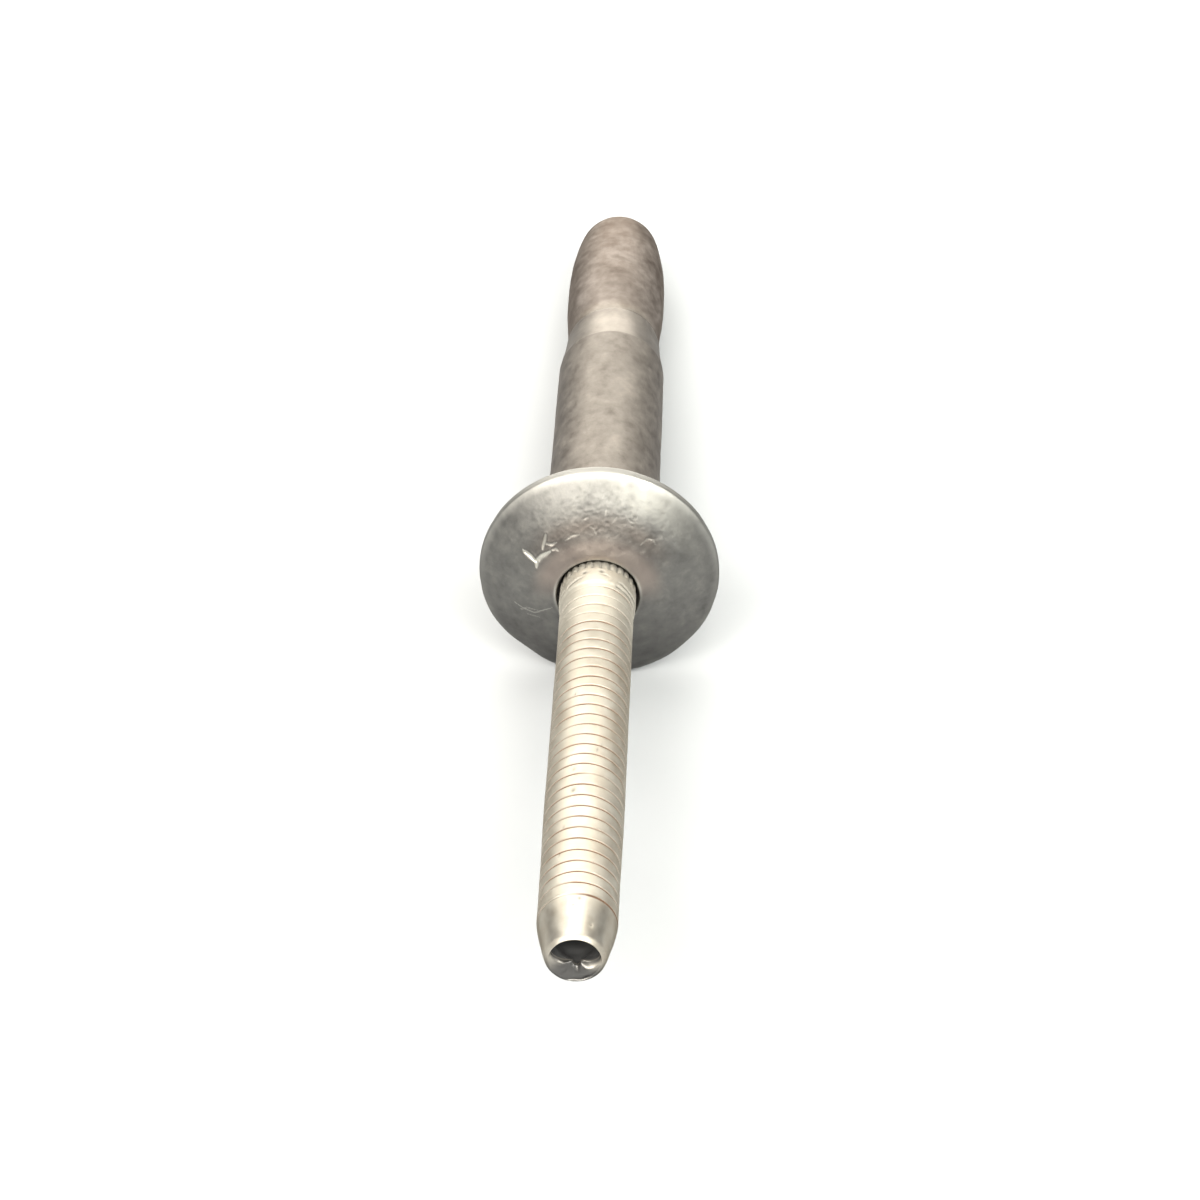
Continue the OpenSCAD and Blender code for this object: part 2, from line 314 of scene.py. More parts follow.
    # painted shade under the flange, and at the shoulder's end where the head meets it, darker on the right side
    dirt_and_shade = np.maximum(dirt_and_shade, np.where(D == 1, 0.5 * smooth((Z + 0.7) / 0.6), 0))
    dirt_and_shade = np.maximum(dirt_and_shade, np.where(D <= 1, (0.05 + 0.9 * smooth((np.cos(T) - 0.15) / 0.4)) * smooth((END_Z + 0.20 - Z) / 0.18), 0))
    burnish_reflection_mask = np.where((D == 3), smooth((3.9 - R) / 0.9) * smooth((np.sin(T) + 0.25) / 0.7), 0)       # burnished ring round the mouth; its lighter, warmer colour, kept to the upper side, is a painted reflection
    swage_and_highlight = np.where((D <= 1) & (Z < -15), smooth((END_Z + SHOULDER_L + 0.08 - Z) / 0.16) * (0.35 + 0.65 * smooth((Z - END_Z - 0.3) / 1.6)), 0)      # the swaged shoulder is smoother; it is also painted lighter, most towards the barrel, as a painted highlight
    # edge wear round the rim, painted lighter on the upper side as a painted highlight
    edge = np.where(rim, smooth((R - FLANGE_R + 0.5) / 0.45), 0) * (0.35 + 0.65 * smooth((np.sin(T) + 0.1) / 0.5))
    # painted shade: a darker band about 4 mm out on the upper side of the dome
    upper_dome_shade = np.where(D == 3, np.exp(-((R - 4.05) / 0.60) ** 2) * smooth((np.sin(T) - 0.25) / 0.6) * (0.8 + 0.2 * value_noise(U, rad, 14, 5, 27)), 0)
    # painted highlight: the outer dome is painted lighter at the upper right
    upper_right_highlight = np.where(D == 3, smooth((R - 4.6) / 0.9) * np.exp(-((deg - 52) / 26) ** 2), 0)
    worn = np.where(D == 3, smooth((R - 4.7) / 0.9), 0)
    ob = lathe("flanged_sleeve", R, Z, n_seg, closed=True,
               attrs={"bare_and_lip_highlight": bare_and_lip_highlight, "dirt_and_shade": dirt_and_shade, "burnish_and_warm_reflection": burnish_reflection_mask, "edge": edge, "upper_dome_shade": upper_dome_shade, "upper_right_highlight": upper_right_highlight, "worn": worn, "swage_and_highlight": swage_and_highlight, "barrel": np.where(D <= 1, smooth((-0.05 - Z) / 0.3), 0.0)})
    return ob


# ---------------------------------------------------------------- the mandrel
def make_mandrel():
    n_seg = 180
    th = np.arange(n_seg) * 2 * np.pi / n_seg
    rings = []                                             # (r, z, zone, groove index)
    def add(pts, zone, g=-1):
        rings.extend((p[0], p[1], zone, g) for p in pts)
    # blind head, from its far end
    add(ramp([(0.35, HEAD_Z), (1.1, HEAD_Z)], [3]), 0)
    add(smooth_curve([(1.25, HEAD_Z + 0.005), (1.75, HEAD_Z + 0.09), (2.1, HEAD_Z + 0.28), (2.35, HEAD_Z + 0.6), (2.52, HEAD_Z + 1.1), (2.65, HEAD_Z + 1.8),
                      (2.76, HEAD_Z + 2.6), (HEAD_R - 0.23, HEAD_Z + 3.6), (HEAD_R - 0.12, HEAD_Z + 4.6), (HEAD_R - 0.04, HEAD_Z + 5.7), (HEAD_R - 0.004, HEAD_Z + 6.9),
                      (HEAD_R - 0.004, HEAD_Z + 8.1), (HEAD_R - 0.03, HEAD_Z + 9.4), (HEAD_R - 0.075, HEAD_Z + 10.8), (HEAD_ROOT_R + 0.08, END_Z - 1.9),
                      (HEAD_ROOT_R + 0.03, END_Z - 0.8), (HEAD_ROOT_R - 0.005, END_Z - 0.24)], 0.24), 0)
    add(smooth_curve([(HEAD_ROOT_R - 0.03, END_Z - 0.12), (HEAD_ROOT_R - 0.09, END_Z - 0.04), (HEAD_ROOT_R - 0.16, END_Z - 0.004)], 0.05), 0)
    add(ramp([(HEAD_ROOT_R - 0.3, END_Z - 0.002), (STEM_R + 0.02, END_Z - 0.002)], [3]), 0)
    # hidden length in the bore, with the locking grooves and the break neck
    z = -9.4
    hid = [(STEM_R - 0.01, END_Z + 0.1), (STEM_R - 0.01, z - 3.6)]
    for i in range(3):
        c = z - 3.2 + 0.8 * i
        hid += [(STEM_R - 0.01, c - 0.25), (STEM_R - 0.18, c), (STEM_R - 0.01, c + 0.25)]
    hid += [(STEM_R - 0.01, z - 0.75), (1.45, z - 0.1), (1.45, z + 0.1), (STEM_R - 0.01, z + 0.75), (STEM_R - 0.01, 0.6)]
    add(ramp(hid, [4] + [1] * (len(hid) - 3) + [4]), 1)
    # collar: a knurled stretch at the mouth
    add(ramp([(STEM_R - 0.01, 1.2), (STEM_R - 0.01, 1.95), (COLLAR_R - 0.01, 2.1), (COLLAR_R + 0.055, 2.5), (COLLAR_R + 0.055, 3.75), (COLLAR_R + 0.02, 4.25)], [3, 2, 5, 26, 10]), 2)
    add(smooth_curve([(COLLAR_R + 0.005, 4.34), (COLLAR_R - 0.02, 4.42), (STEM_R + 0.002, 4.52)], 0.03), 2)
    # grooves
    first = LAST_GROOVE - (GROOVES - 1) * PITCH
    rng = np.random.default_rng(9)
    for k in range(GROOVES):
        c = first + k * PITCH
        w = 0.084
        if k > 0:
            for t in (0.5,):
                add([(STEM_R, c - PITCH * (1 - t))], 3, -1)
        add([(STEM_R, c - w - 0.05), (STEM_R - 0.003, c - w - 0.010), (STEM_R - 0.014, c - w + 0.006), (STEM_R - 0.06, c - w * 0.4), (STEM_R - 0.095, c),
             (STEM_R - 0.06, c + w * 0.4), (STEM_R - 0.014, c + w - 0.006), (STEM_R - 0.003, c + w + 0.010), (STEM_R, c + w + 0.05)], 3, k)
    # end of the grooves, then the tip's slope
    add([(STEM_R, 30.42), (STEM_R, 30.70), (STEM_R - 0.004, 30.84)], 3, -1)
    add([(STEM_R - 0.03, 30.875), (STEM_R - 0.06, 30.905), (STEM_R - 0.06, 30.945), (STEM_R - 0.034, 30.98)], 5)
    add(smooth_curve([(STEM_R - 0.028, 31.05), (STEM_R - 0.085, 31.45), (STEM_R - 0.17, 31.9), (STEM_R - 0.29, 32.4), (STEM_R - 0.43, 32.9), (1.46, 33.22)], 0.1), 5)
    add(smooth_curve([(1.40, 33.34), (1.34, 33.43), (1.29, 33.49), (1.25, 33.515)], 0.03), 6)
    add([(1.25 - 0.003 * i, 33.51 - 0.012 * i) for i in range(1, 19)], 8)
    add(smooth_curve([(1.18, 33.22), (1.16, 33.0), (1.12, 32.7), (1.06, 32.4), (0.97, 32.1), (0.8, 31.88), (0.5, 31.76), (0.2, 31.72)], 0.09), 7)
    rr = np.array([p[0] for p in rings])
    zz = np.array([p[1] for p in rings])
    D = np.array([p[2] for p in rings])[:, None]
    G = np.array([p[3] for p in rings])[:, None]
    R = np.repeat(rr[:, None], n_seg, 1)
    Z = np.repeat(zz[:, None], n_seg, 1)
    T = np.repeat(th[None, :], len(rr), 0)
    U = T / (2 * np.pi)
    deg = np.degrees(T)
    groove = np.zeros_like(R)
    dirt_and_shade = np.zeros_like(R)
    tipm = np.zeros_like(R)
    # the head's darker tone, eased towards the stem's colour on its upper side next to the sleeve as a painted
    # highlight
    head_tone_and_highlight = np.where(D == 0, 1.0 - 0.22 * smooth((Z - END_Z + 1.3) / 1.1) * smooth((np.sin(T) - 0.45) / 0.4), 0.0)

    # each groove wanders a little and is deeper in places
    for k in range(GROOVES):
        m = (G[:, 0] == k)
        wob = 0.012 * np.sin(th + rng.uniform(0, 6.3)) + 0.010 * np.sin(2 * th + rng.uniform(0, 6.3)) + 0.006 * np.sin(5 * th + rng.uniform(0, 6.3)) + rng.normal(0, 0.012)
        dep = 0.75 + 0.35 * value_noise(th / (2 * np.pi), th * 0 + rng.uniform(0, 1), 9, 4, 100 + k) + 0.12 * rng.uniform(-1, 1)
        if k < 4:                                          # the first ones are only half rolled in
            side = smooth((np.cos(th) + 0.15) / 0.5) if k == 0 else 1.0
            dep = dep * (0.9, 0.75, 0.4, 0.35)[k] * side * (0.8 + 0.6 * value_noise(th / (2 * np.pi), th * 0 + 0.5, 7, 2, 300 + k))
            wob = wob + 0.03 * value_noise(th / (2 * np.pi), th * 0 + 0.2, 8, 2, 400 + k)
        d = (STEM_R - R[m]) * np.clip(dep, 0.1, 1.2)
        # painted shade: the groove mask paints the grooves dark
        groove[m] = smooth((STEM_R - R[m]) / 0.036) * np.clip(dep * 1.30, 0.0, 1.0)
        R[m] = STEM_R - d
        Z[m] += wob
    # the stem narrows slightly towards the tip, and its lands wave a little
    stem = (D == 3)
    R -= np.where(stem, 0.070 * smooth((Z - 21.0) / 8.5), 0)   # the stem narrows slightly towards the tip
    R -= np.where(D >= 5, 0.070 * smooth((33.6 - Z) / 1.6) * (D == 5) + 0.0, 0)
    lw = value_noise(U, (Z - 4) / 28, 6, 14, 41)
    R += np.where(stem | (D == 2), 0.006 * lw + 0.003 * value_noise(U, (Z - 4) / 28, 24, 90, 42) - 0.006, 0)
    # specks and knocks on the lands: (angle, z, size, depth)
    marks = [(67.6, 19.1, 0.06, 0.02), (60, 20.6, 0.05, 0.015), (60.9, 22.5, 0.05, 0.015), (86.2, 31.2, 0.08, 0.05), (109.4, 19.46, 0.10, 0.05),
             (105.8, 21.2, 0.085, 0.05), (105, 22.98, 0.11, 0.07), (63.4, 32.6, 0.10, 0.05), (98, 25.3, 0.06, 0.03), (78, 11.0, 0.06, 0.03),
             (120, 27.7, 0.05, 0.03), (72, 16.4, 0.05, 0.03), (112, 14.8, 0.05, 0.03), (95, 31.6, 0.05, 0.03), (128, 17.2, 0.05, 0.03)]
    for k in range(46):
        marks.append((rng.uniform(0, 360), rng.uniform(5, 31), rng.uniform(0.03, 0.07), rng.uniform(0.01, 0.03)))
    for a, mz, s, dp in marks:
        da = ((deg - a + 180) % 360 - 180) * np.pi / 180 * STEM_R
        q = (da / s) ** 2 + ((Z - mz) / (s * 0.8)) ** 2
        m = q < 9
        R[m] -= dp * np.exp(-q[m])
        dirt_and_shade[m] = np.maximum(dirt_and_shade[m], min(1.0, dp / 0.035) * np.exp(-q[m] * 0.8))

    # knurled collar: a row of scallops and a row of small pits, with a torn outer edge
    col = (D == 2) & (Z > 2.0)
    arc = deg / 360 * 28
    wav = 0.18 * value_noise(U, U * 0 + .4, 11, 1, 51)
    ph = (arc + wav) % 1.0 - 0.5
    lvl = 2.78 + 0.10 * value_noise(U, U * 0 + .6, 23, 1, 54)
    notch = np.exp(-((ph / 0.21) ** 2)) * smooth((lvl + 0.42 - Z) / 0.22)          # gaps between the teeth, open towards the bore
    ph2 = (arc * 0.5 + 0.3 + wav) % 1.0 - 0.5
    dots = np.exp(-((ph2 / 0.15) ** 2 + ((Z - 3.48) / 0.14) ** 2)) * smooth((value_noise(U, U * 0 + .2, 17, 1, 55) + 0.45) / 0.3)
    R = R - np.where(col, 0.12 * notch + 0.05 * dots, 0)
    # painted shade: the collar's notches and pits are painted dark
    dirt_and_shade = np.maximum(dirt_and_shade, np.where(col, np.clip(0.95 * notch + 1.25 * dots, 0, 1), 0))
    right = smooth((np.cos(T) + 0.05) / 0.4)
    left = smooth((-np.cos(T) - 0.25) / 0.3)
    seam = np.exp(-((Z - 3.90 - 0.16 * np.sin(3 * T)) / 0.095) ** 2) * np.maximum(1.0 * right, 0.9 * left * smooth((np.sin(T) - 0.1) / 0.3))
    seam2 = np.exp(-((Z - 4.40) / 0.095) ** 2) * right * smooth((0.97 - np.sin(T)) / 0.1)
    tear = smooth((value_noise(U, Z / 5, 40, 8, 53) + 0.55) / 0.5)
    R = R - np.where(col, (0.06 * seam + 0.05 * seam2) * tear, 0)
    # painted shade: the torn seams are painted dark, mostly on the right
    dirt_and_shade = np.maximum(dirt_and_shade, np.where(col, np.clip(1.2 * seam + 1.1 * seam2, 0, 1) * tear, 0))
    # painted shade: the stem is painted dark inside the mouth
    dirt_and_shade = np.maximum(dirt_and_shade, np.where((D == 2) | (D == 1), smooth((2.62 - Z) / 0.2), 0))
    # tip: the lower lip is torn and folded in, so the hollow opens off centre
    low = smooth((-np.sin(T + 0.10) + 0.30) / 1.05)            # 1 at the bottom of the ring
    share = np.where(D == 8, (33.51 - Z) / 0.22, np.where(D == 7, 1.0, 0.0))
    share = np.clip(share, 0, 1)
    deep = np.clip((33.25 - Z) / 1.2, 0, 1)
    ragged = 0.75 * value_noise(U, share * 0.5 + deep * 0.5, 9, 2, 61) + 0.25 * value_noise(U, share * 0.5 + deep * 0.5, 19, 4, 62)
    inner = 1 - 0.60 * low * (1 + 0.28 * ragged)
    squeeze = 1 - (1 - inner) * smooth(share) * (1 - 0.75 * deep)
    R = np.where((D == 7) | (D == 8), R * squeeze, R)
    lift = value_noise(U, share, 12, 2, 63) * 0.8 + value_noise(U, share, 23, 4, 64) * 0.2
    Z = Z + np.where(D == 8, low * (0.17 * lift * bump(share, 0.2, 0.85, 0.2) + 0.16 * np.sin(np.pi * share) - 0.16 * share), 0)
    Z = Z - np.where(D == 7, low * 0.16 * (1 - deep), 0)
    jag = value_noise(U, U * 0 + 0.5, 19, 1, 65)
    lipw = np.where(D == 6, smooth((Z - 33.2) / 0.25), np.where(D == 8, 1 - share, 0))
    Z = Z - lipw * (0.02 + low * 0.10 * (0.6 + 0.8 * jag))
    R = R - np.where(D == 7, 0.03 * value_noise(U, deep, 12, 5, 66), 0)
    R = np.maximum(R, 0.02)
    # painted shade: the tip's hollow is painted dark
    hollow = np.where(D == 7, smooth(deep * 5 + 0.35), 0)
    hollow = np.maximum(hollow, np.where(D == 8, smooth((share - 0.45) / 0.5) * (1 - 0.8 * low), 0))
    dirt_and_shade = np.maximum(dirt_and_shade, hollow)
    # painted shade: the lip ring is painted darker, less at its bottom
    dirt_and_shade = np.maximum(dirt_and_shade, np.where(D == 6, 0.30, 0.0) + np.where(D == 8, 0.30 * (1 - low), 0.0))
    # the lip is painted darker towards its bottom
    lip_bottom = np.where((D == 8) | (D == 6), low, 0)
    tipm = np.where((D == 5) | (D == 6) | (D == 8), 1.0, 0.0) * np.ones_like(R)
    # line where the grooves end, painted dark as painted shade, strongest on the right
    groove = np.maximum(groove, np.where((D == 5) & (Z < 31.0), (1.0 - 0.9 * np.exp(-((deg - 118) / 20) ** 2)) * (0.55 + 0.45 * smooth((np.cos(T) + 0.2) / 0.6)), 0))
    # blind head: soft dents, and gentle swells and dips along it
    hn = value_noise(U, (Z - HEAD_Z) / HEAD_L, 5, 5, 71) * 0.012 + value_noise(U, (Z - HEAD_Z) / HEAD_L, 14, 16, 72) * 0.006
    R = R + np.where((D == 0) & (Z < END_Z - 0.1), (hn - 0.018) * smooth((R - 1.2) / 0.8), 0)
    rolls = 0.035 * smooth((Z + 32.2) / 2.6) - 0.022 * smooth((Z + 35.6) / 1.4) - 0.035 * smooth((Z + 30.0) / 3.5) + 0.004 * value_noise(U, (Z - HEAD_Z) / HEAD_L, 4, 26, 73)
    R = R + np.where(D == 0, rolls * smooth((R - 1.6) / 0.6), 0)
    # painted shade where the head meets the sleeve, darker on the right side
    dirt_and_shade = np.maximum(dirt_and_shade, np.where(D == 0, (0.04 + 0.9 * smooth((np.cos(T) - 0.15) / 0.4)) * smooth((Z - END_Z + 0.35) / 0.25), 0))
    # painted light: the stem and collar are painted lighter towards the flange
    ob = lathe("pull_mandrel", R, Z, n_seg, poles=True, attrs={"groove": groove, "dirt_and_shade": dirt_and_shade, "tip": tipm, "head": head_tone_and_highlight, "lip_bottom": lip_bottom, "hollow": hollow * np.ones_like(R),
                          "near": np.where((D == 2) | (D == 3), smooth((9.5 - Z) / 5.0), 0)})
    return ob


# ---------------------------------------------------------------- materials
class Graph:
    """A short hand for shader node graphs."""
    def __init__(self, name):
        self.mat = bpy.data.materials.new(name)
        self.mat.use_nodes = True
        self.nt = self.mat.node_tree
        self.bsdf = next(n for n in self.nt.nodes if n.type == "BSDF_PRINCIPLED")
        self.coord = self.nt.nodes.new("ShaderNodeTexCoord")

    def link(self, a, b):
        self.nt.links.new(a, b)

    def attr(self, name):
        n = self.nt.nodes.new("ShaderNodeAttribute")
        n.attribute_type = "GEOMETRY"
        n.attribute_name = name
        return n.outputs["Fac"]

    def scaled(self, sx, sy, sz, own=True):
        n = self.nt.nodes.new("ShaderNodeMapping")
        n.inputs["Scale"].default_value = (sx, sy, sz)
        src = self.coord.outputs["Object"]
        if own:                                            # the turned parts carry their own coordinates, z along the axis
            a = self.nt.nodes.new("ShaderNodeAttribute")
            a.attribute_type = "GEOMETRY"
            a.attribute_name = "lathe"
            src = a.outputs["Vector"]
        self.link(src, n.inputs["Vector"])
        return n.outputs["Vector"]

    def noise(self, vec, scale, detail=3.0, rough=0.55, distort=0.0):
        n = self.nt.nodes.new("ShaderNodeTexNoise")
        n.inputs["Scale"].default_value = scale
        n.inputs["Detail"].default_value = detail
        n.inputs["Roughness"].default_value = rough
        n.inputs["Distortion"].default_value = distort
        self.link(vec, n.inputs["Vector"])
        return n.outputs["Fac"]

    def voronoi(self, vec, scale):
        n = self.nt.nodes.new("ShaderNodeTexVoronoi")
        n.inputs["Scale"].default_value = scale
        self.link(vec, n.inputs["Vector"])
        return n.outputs["Distance"]

    def math(self, op, a, b=None, c=None, clamp=False):
        n = self.nt.nodes.new("ShaderNodeMath")
        n.operation = op
        n.use_clamp = clamp
        for i, x in enumerate((a, b, c)):
            if x is None:
                continue
            if isinstance(x, (int, float)):
                n.inputs[i].default_value = x
            else:
                self.link(x, n.inputs[i])
        return n.outputs[0]

    def remap(self, x, a, b, lo=0.0, hi=1.0):
        n = self.nt.nodes.new("ShaderNodeMapRange")
        n.inputs["From Min"].default_value, n.inputs["From Max"].default_value = a, b
        n.inputs["To Min"].default_value, n.inputs["To Max"].default_value = lo, hi
        self.link(x, n.inputs["Value"])
        return n.outputs["Result"]

    def colors(self, fac, stops):
        n = self.nt.nodes.new("ShaderNodeValToRGB")
        el = n.color_ramp.elements
        while len(el) < len(stops):
            el.new(0.5)
        for e, (p, c) in zip(el, stops):
            e.position, e.color = p, (*c, 1)
        self.link(fac, n.inputs["Fac"])
        return n.outputs["Color"]

    def mix(self, fac, a, b, kind="MIX"):
        n = self.nt.nodes.new("ShaderNodeMix")
        n.data_type = "RGBA"
        n.blend_type = kind
        for sock, x in ((n.inputs["Factor"], fac), (n.inputs["A"], a), (n.inputs["B"], b)):
            pass
        ins = [s for s in n.inputs if s.type == "RGBA"]
        f = [s for s in n.inputs if s.type == "VALUE" and s.enabled][0]
        for sock, x in ((f, fac), (ins[0], a), (ins[1], b)):
            if isinstance(x, tuple):
                sock.default_value = (*x, 1)
            elif isinstance(x, (int, float)):
                sock.default_value = x
            else:
                self.link(x, sock)
        return [s for s in n.outputs if s.type == "RGBA"][0]

    def bump(self, height, strength, dist, normal=None):
        n = self.nt.nodes.new("ShaderNodeBump")
        n.inputs["Strength"].default_value = strength
        n.inputs["Distance"].default_value = dist
        self.link(height, n.inputs["Height"])
        if normal is not None:
            self.link(normal, n.inputs["Normal"])
        return n.outputs["Normal"]


def sleeve_material():
    g = Graph("sleeve_zinc")
    flat = g.scaled(1, 1, 1)
    drawn = g.scaled(1, 1, 0.7)                                # faint streaks along the barrel
    big = g.noise(drawn, 620, 4, 0.68)
    mid = g.noise(flat, 1500, 4, 0.62)
    fine = g.noise(flat, 7000, 3, 0.6)
    spots = g.voronoi(flat, 1900)
    tone = g.math("ADD", g.math("MULTIPLY", big, 0.55), g.math("MULTIPLY", mid, 0.45))
    col = g.colors(tone, [(0.34, (0.110, 0.107, 0.102)), (0.46, (0.142, 0.139, 0.133)), (0.54, (0.160, 0.157, 0.149)), (0.68, (0.206, 0.200, 0.186))])
    brown = g.colors(tone, [(0.34, (0.131, 0.117, 0.103)), (0.46, (0.178, 0.162, 0.145)), (0.54, (0.204, 0.187, 0.168)), (0.68, (0.270, 0.246, 0.219))])
    col = g.mix(g.attr("barrel"), col, brown)
    # burnished ring round the mouth, painted lighter and warmer on the upper side as a painted reflection
    col = g.mix(g.attr("burnish_and_warm_reflection"), col, g.mix(0.6, col, (0.30, 0.245, 0.212)))
    # painted shade: a darker band on the upper side of the dome
    col = g.mix(g.math("MULTIPLY", g.attr("upper_dome_shade"), 0.75), col, (0.122, 0.101, 0.088))
    # painted highlight on the upper right of the dome
    col = g.mix(g.math("MULTIPLY", g.attr("upper_right_highlight"), 0.55), col, (0.235, 0.231, 0.212))
    # edge wear round the rim, painted lighter on the upper side as a painted highlight
    col = g.mix(g.math("MULTIPLY", g.attr("edge"), 0.65), col, (0.33, 0.325, 0.305))
    # dirt in the pits, and painted shade in the throat, under the flange and where the head meets the shoulder
    grime_and_shade = g.math("MULTIPLY", g.attr("dirt_and_shade"), g.remap(mid, 0.3, 0.7, 0.7, 1.0))
    col = g.mix(g.math("MULTIPLY", grime_and_shade, 0.9, clamp=True), col, (0.030, 0.027, 0.024))
    # painted highlight on the swaged shoulder
    col = g.mix(g.math("MULTIPLY", g.attr("swage_and_highlight"), 0.26), col, (0.30, 0.28, 0.25))
    # bare metal in the nicks, and the painted highlight on the mouth lip
    col = g.mix(g.attr("bare_and_lip_highlight"), col, (0.66, 0.64, 0.58))
    g.link(g.math("SUBTRACT", 1.0, g.math("MULTIPLY", grime_and_shade, 0.7), clamp=True), g.bsdf.inputs["Metallic"])
    g.link(col, g.bsdf.inputs["Base Color"])
    rough = g.math("ADD", g.remap(mid, 0.3, 0.7, 0.42, 0.54), g.math("MULTIPLY", grime_and_shade, 0.2))
    rough = g.math("SUBTRACT", rough, g.math("MULTIPLY", g.attr("burnish_and_warm_reflection"), 0.06))
    rough = g.math("SUBTRACT", rough, g.math("MULTIPLY", g.attr("bare_and_lip_highlight"), 0.12))
    rough = g.math("SUBTRACT", rough, g.math("MULTIPLY", g.attr("swage_and_highlight"), 0.075))
    rough = g.math("ADD", rough, g.math("MULTIPLY", g.attr("worn"), 0.03))
    rough = g.math("ADD", rough, g.math("MULTIPLY", g.attr("barrel"), 0.035))
    g.link(rough, g.bsdf.inputs["Roughness"])
    g.bsdf.inputs["Specular Tint"].default_value = (0.42, 0.42, 0.44, 1)
    n1 = g.bump(spots, 0.10, 0.00006)
    n2 = g.bump(mid, 0.35, 0.00003, n1)
    n3 = g.bump(fine, 0.25, 0.000012, n2)
    g.link(n3, g.bsdf.inputs["Normal"])
    return g.mat


def mandrel_material():
    g = Graph("mandrel_zinc")
    flat = g.scaled(1, 1, 1)
    turned = g.scaled(1, 1, 9.0)                               # fine marks run round the stem
    big = g.noise(flat, 380, 3, 0.55, 0.3)
    mid = g.noise(flat, 1700, 4, 0.6)
    lines = g.noise(turned, 900, 4, 0.65)
    tone = g.math("ADD", g.math("MULTIPLY", big, 0.5), g.math("MULTIPLY", mid, 0.5))
    col = g.colors(tone, [(0.32, (0.395, 0.352, 0.292)), (0.50, (0.450, 0.418, 0.362)), (0.68, (0.505, 0.482, 0.430))])
    head = g.colors(tone, [(0.34, (0.150, 0.130, 0.117)), (0.50, (0.212, 0.188, 0.171)), (0.66, (0.288, 0.258, 0.238))])
    # painted light: the stem is painted lighter towards the flange
    col = g.mix(g.math("MULTIPLY", g.attr("near"), 0.75), col, (0.66, 0.625, 0.55))
    # the head's darker tone, eased on its upper side next to the sleeve as a painted highlight
    col = g.mix(g.attr("head"), col, head)
    # painted shade in the grooves
    col = g.mix(g.attr("groove"), col, (0.085, 0.048, 0.030))
    # dirt in the knocks, and painted shade in the collar, the mouth, the tip's hollow, the lip ring and at the head
    # joint
    grime_and_shade = g.math("MULTIPLY", g.attr("dirt_and_shade"), g.remap(mid, 0.3, 0.7, 0.75, 1.0))
    col = g.mix(g.math("MULTIPLY", grime_and_shade, 0.92, clamp=True), col, (0.038, 0.034, 0.030))
    # the lip is painted darker towards its bottom
    col = g.mix(g.math("MULTIPLY", g.attr("lip_bottom"), 0.88), col, (0.085, 0.085, 0.088))
    # painted shade: the tip's hollow is painted dark
    col = g.mix(g.attr("hollow"), col, (0.054, 0.054, 0.055))
    g.link(col, g.bsdf.inputs["Base Color"])
    rough = g.math("ADD", g.remap(mid, 0.3, 0.7, 0.43, 0.52), g.math("MULTIPLY", grime_and_shade, 0.2))
    rough = g.math("ADD", rough, g.math("MULTIPLY", g.attr("head"), 0.06))
    rough = g.math("ADD", rough, g.math("MULTIPLY", g.attr("near"), 0.10))
    rough = g.math("SUBTRACT", rough, g.math("MULTIPLY", g.attr("tip"), 0.07))
    rough = g.math("SUBTRACT", rough, g.math("MULTIPLY", g.attr("lip_bottom"), 0.03))
    g.link(rough, g.bsdf.inputs["Roughness"])
    g.link(g.math("SUBTRACT", 1.0, g.math("MAXIMUM", g.attr("groove"), g.math("MULTIPLY", grime_and_shade, 0.8)), clamp=True), g.bsdf.inputs["Metallic"])
    g.bsdf.inputs["Specular IOR Level"].default_value = 0.15
    g.bsdf.inputs["Specular Tint"].default_value = (0.20, 0.195, 0.195, 1)
    n1 = g.bump(lines, 0.30, 0.000012)
    n2 = g.bump(mid, 0.30, 0.00002, n1)
    g.link(n2, g.bsdf.inputs["Normal"])
    return g.mat


def floor_material():
    g = Graph("pale_floor")
    flat = g.scaled(1, 1, 1, own=False)
    n = g.noise(flat, 60, 3, 0.5)
    g.link(g.colors(n, [(0.3, (0.315, 0.326, 0.342)), (0.7, (0.333, 0.344, 0.360))]), g.bsdf.inputs["Base Color"])
    g.bsdf.inputs["Roughness"].default_value = 0.75
    g.bsdf.inputs["Specular IOR Level"].default_value = 0.2
    return g.mat


sleeve = make_sleeve()
sleeve.data.materials.append(sleeve_material())
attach(sleeve, "root")
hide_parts("rivet_body")

mandrel = make_mandrel()
mandrel.data.materials.append(mandrel_material())
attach(mandrel, "root")
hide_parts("mandrel")

# the carried-over CAD nodes are hidden, and still get the finished materials
for node, piece in (("rivet_body", sleeve), ("mandrel", mandrel)):
    o = frame["nodes"][node]
    o.data.materials.clear()
    o.data.materials.append(piece.data.materials[0])

# ---------------------------------------------------------------- floor, light, camera
def plane(name, cx, cy, cz, sx, sy):
    me = bpy.data.meshes.new(name)
    me.from_pydata([(cx - sx, cy - sy, cz), (cx + sx, cy - sy, cz), (cx + sx, cy + sy, cz), (cx - sx, cy + sy, cz)], [], [(0, 1, 2, 3)])
    me.update()
    ob = bpy.data.objects.new(name, me)
    bpy.context.scene.collection.objects.link(ob)
    return ob


floor = plane("floor", 0, 0, -0.00002, 3.0, 3.0)
floor.data.materials.append(floor_material())


def softbox(name, azimuth, elevation, dist, width, height, radiance, color, spread=180):
    """A rectangular light that looks at the part. Azimuth 0 is in front (-Y), 180 behind, 90 to the right."""
    a, e = math.radians(azimuth), math.radians(elevation)
    away = Vector((math.sin(a) * math.cos(e), -math.cos(a) * math.cos(e), math.sin(e)))
    li = bpy.data.lights.new(name, "AREA")
    li.shape = "RECTANGLE"
    li.size, li.size_y = width, height
    li.energy = radiance * math.pi * width * height
    li.color = color
    li.spread = math.radians(spread)
    ob = bpy.data.objects.new(name, li)
    ob.location = away * dist
    ob.rotation_mode = "QUATERNION"
    ob.rotation_quaternion = away.to_track_quat("Z", "Y")
    bpy.context.scene.collection.objects.link(ob)
    ob.visible_camera = False
    return ob


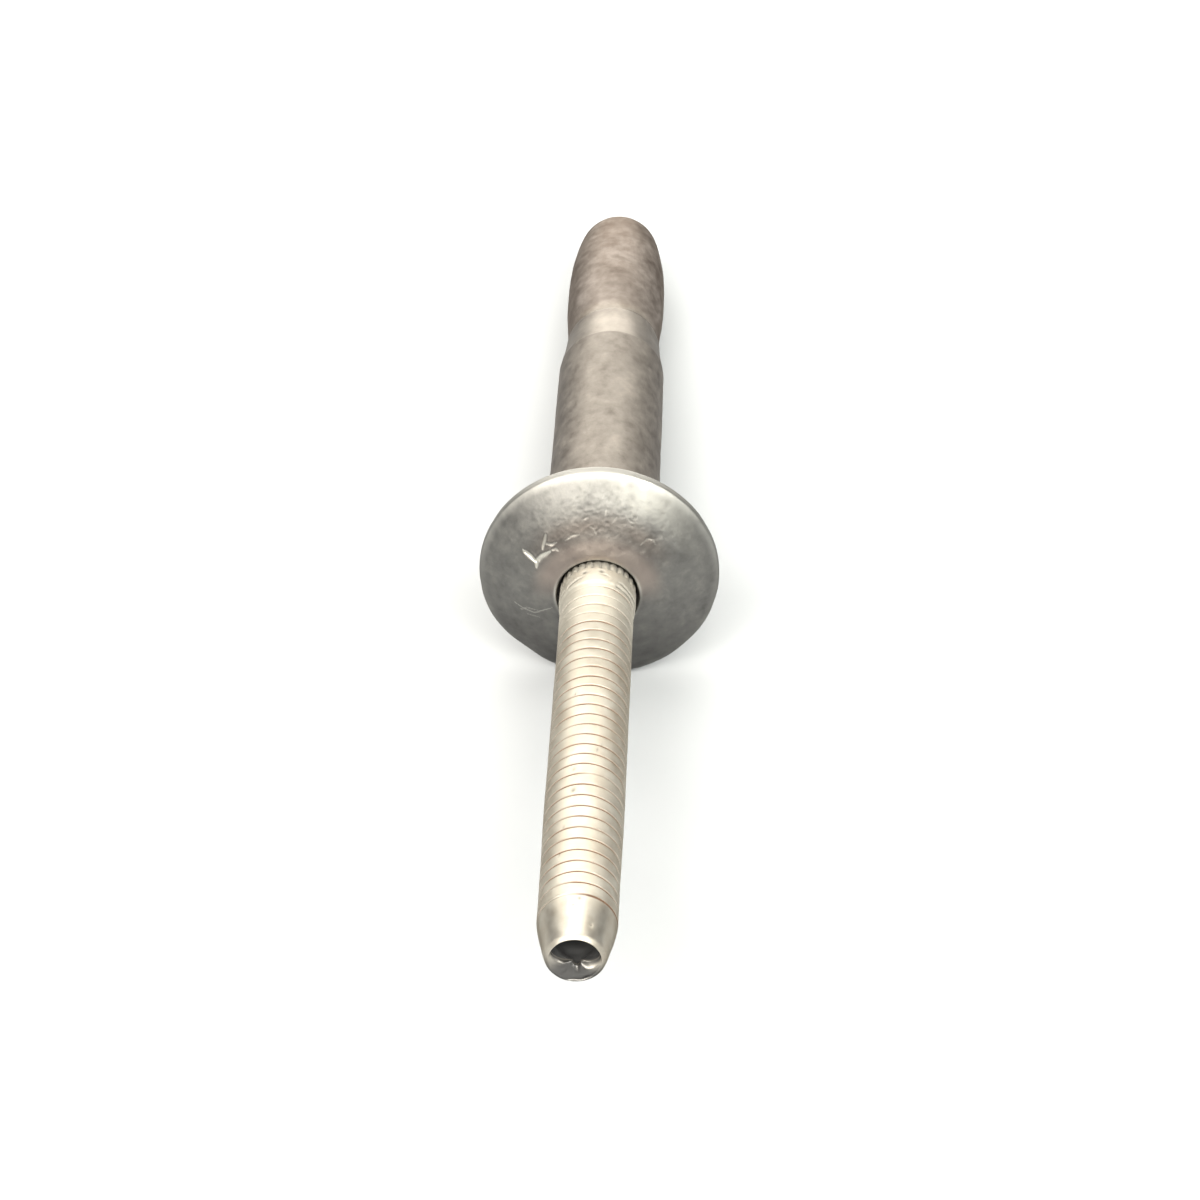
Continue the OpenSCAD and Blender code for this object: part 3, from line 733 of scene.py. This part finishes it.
WARM, SOFT = (1.0, 0.965, 0.875), (1.0, 0.975, 0.92)
softbox("key_low", 0, 37, 0.60, 0.70, 0.14, 2.2, WARM)
softbox("key_high", 3, 55, 0.60, 0.66, 0.25, 13.5, WARM)
softbox("key_left", -45, 43, 0.60, 0.36, 0.28, 10.5, (1.0, 0.95, 0.87))
softbox("key_right", 44, 43, 0.60, 0.36, 0.28, 10.0, (0.985, 1.0, 0.94))
softbox("overhead", 180, 76, 0.60, 0.50, 0.24, 4.8, WARM)
softbox("left_high", -110, 60, 0.60, 0.30, 0.30, 3.0, SOFT)
softbox("back_high", 180, 50, 0.60, 0.45, 0.20, 5.4, WARM)
softbox("back_low", 182, 9.5, 0.60, 0.36, 0.19, 12.5, WARM)
softbox("back_left", 215, 30, 0.60, 0.30, 0.20, 4.0, WARM)
softbox("back_right", 145, 30, 0.60, 0.30, 0.20, 2.4, WARM)
softbox("back_left_low", 213, 12, 0.60, 0.30, 0.16, 2.8, WARM)
softbox("back_right_low", 147, 12, 0.60, 0.30, 0.16, 1.8, WARM)

world = bpy.data.worlds.new("studio")
bpy.context.scene.world = world
world.use_nodes = True
bg = next(n for n in world.node_tree.nodes if n.type == "BACKGROUND")
bg.inputs["Color"].default_value = (0.88, 0.94, 1.0, 1)
bg.inputs["Strength"].default_value = 0.22

cam_data = bpy.data.cameras.new("camera")
cam_data.sensor_width = 36
cam_data.lens = 90.18
cam_data.clip_start, cam_data.clip_end = 0.001, 20
cam = bpy.data.objects.new("camera", cam_data)
bpy.context.scene.collection.objects.link(cam)
bpy.context.scene.camera = cam
elev, yaw = math.radians(39.19), math.radians(1.935)
xc = Vector((math.cos(yaw), math.sin(yaw), 0))
zc = Vector((-math.sin(yaw) * math.cos(elev), math.cos(yaw) * math.cos(elev), -math.sin(elev)))
yc = zc.cross(xc)                                              # down in the picture
aim = SEAT + TIPWARD * (0.3 * MM)
where = aim - (xc * -0.0380 + yc * -1.5774 + zc * 166.239) * MM
cam.matrix_world = Matrix(((xc.x, -yc.x, -zc.x, where.x), (xc.y, -yc.y, -zc.y, where.y), (xc.z, -yc.z, -zc.z, where.z), (0, 0, 0, 1)))

bpy.context.scene.view_settings.view_transform = "Standard"
